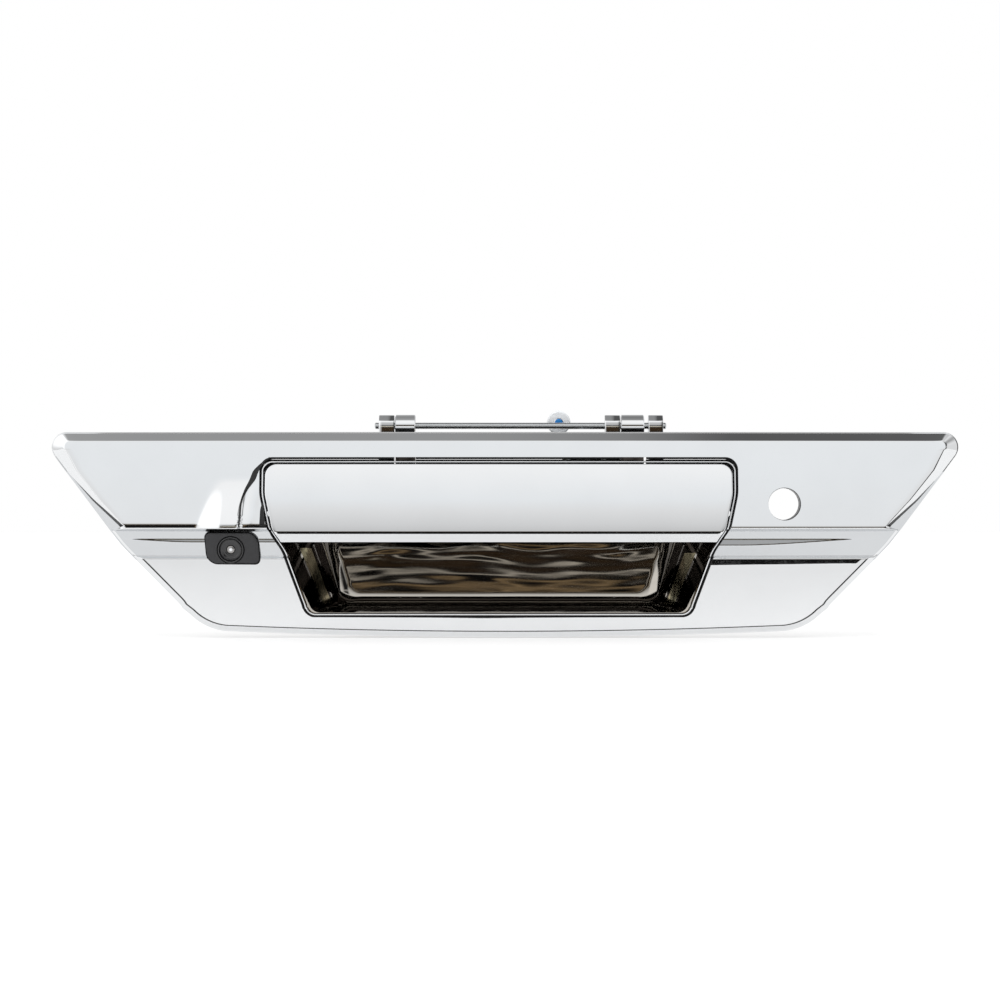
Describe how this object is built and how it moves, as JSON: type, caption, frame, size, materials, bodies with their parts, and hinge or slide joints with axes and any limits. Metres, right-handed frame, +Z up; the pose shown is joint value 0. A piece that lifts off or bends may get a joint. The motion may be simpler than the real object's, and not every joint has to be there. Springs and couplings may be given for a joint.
{
  "type": "tailgate handle",
  "caption": "Chrome pickup tailgate handle: wide bezel with hand cup, hinged pull paddle, key hole and a small black backup camera, with a bell crank behind it that the paddle turns.",
  "frame": {"origin": "middle of the top run of the gasket's back face, which lies on the tailgate skin", "axes": "+X to the right along the length, +Y into the tailgate, +Z up"},
  "size_m": [0.5002, 0.0582, 0.1254],
  "materials": {
    "chrome": "mirror-bright chrome plating on moulded plastic and die-cast parts",
    "bright_steel": "bright drawn steel",
    "zinc_steel": "satin zinc-plated steel",
    "black_housing": "satin black moulded plastic",
    "rubber": "dull black rubber and foam",
    "nylon": "milky white nylon",
    "blue_plastic": "glossy blue plastic",
    "bronze": "plain bronze",
    "lens_glass": "dark coated glass",
    "circuit_board": "green circuit board"
  },
  "bodies": {
    "root": {"bezel": "chrome", "handle_frame": "chrome", "hinge_pin": "bright_steel", "crank_spring": "bright_steel", "inner_lens": "bright_steel", "frame_screw_1": "zinc_steel", "frame_screw_2": "zinc_steel", "frame_screw_3": "zinc_steel", "frame_screw_4": "zinc_steel", "mounting_stud_1": "zinc_steel", "mounting_stud_2": "zinc_steel", "mounting_stud_3": "zinc_steel", "mounting_stud_4": "zinc_steel", "crank_washer": "zinc_steel", "crank_screw": "zinc_steel", "camera_bracket": "zinc_steel", "camera_screw_1": "zinc_steel", "camera_screw_2": "zinc_steel", "camera_front_housing": "black_housing", "camera_rear_housing": "black_housing", "lens_ring": "black_housing", "lens_barrel": "black_housing", "image_sensor": "black_housing", "panel_gasket": "rubber", "paddle_bumper_left": "rubber", "paddle_bumper_right": "rubber", "camera_seal": "rubber", "cable_gland": "rubber", "lens_glass": "lens_glass", "sensor_board": "circuit_board"},
    "paddle": {"paddle_cover": "chrome", "paddle_inner": "chrome"},
    "crank": {"release_crank": "zinc_steel", "crank_bush": "bronze", "upper_rod_clip": "nylon", "upper_clip_lock": "blue_plastic", "lower_rod_clip": "nylon", "lower_clip_lock": "blue_plastic"}
  },
  "joints": [
    {"name": "paddle_hinge", "type": "hinge", "parent": "root", "child": "paddle", "pos_m": [0.0086, 0.01, 0.0081], "axis": [-1, 0, 0], "range_deg": [0, 30], "stiffness_Nm_per_rad": 0.35, "springref_deg": -28.65},
    {"name": "crank_pivot", "type": "hinge", "parent": "root", "child": "crank", "pos_m": [0.045, 0.02625, -0.011], "axis": [0, 1, 0], "range_deg": [0, 33], "stiffness_Nm_per_rad": 0.05, "springref_deg": -17.19}
  ],
  "couplings": [
    {"joint": "crank_pivot", "follows": "paddle_hinge", "ratio": 1.1}
  ]
}
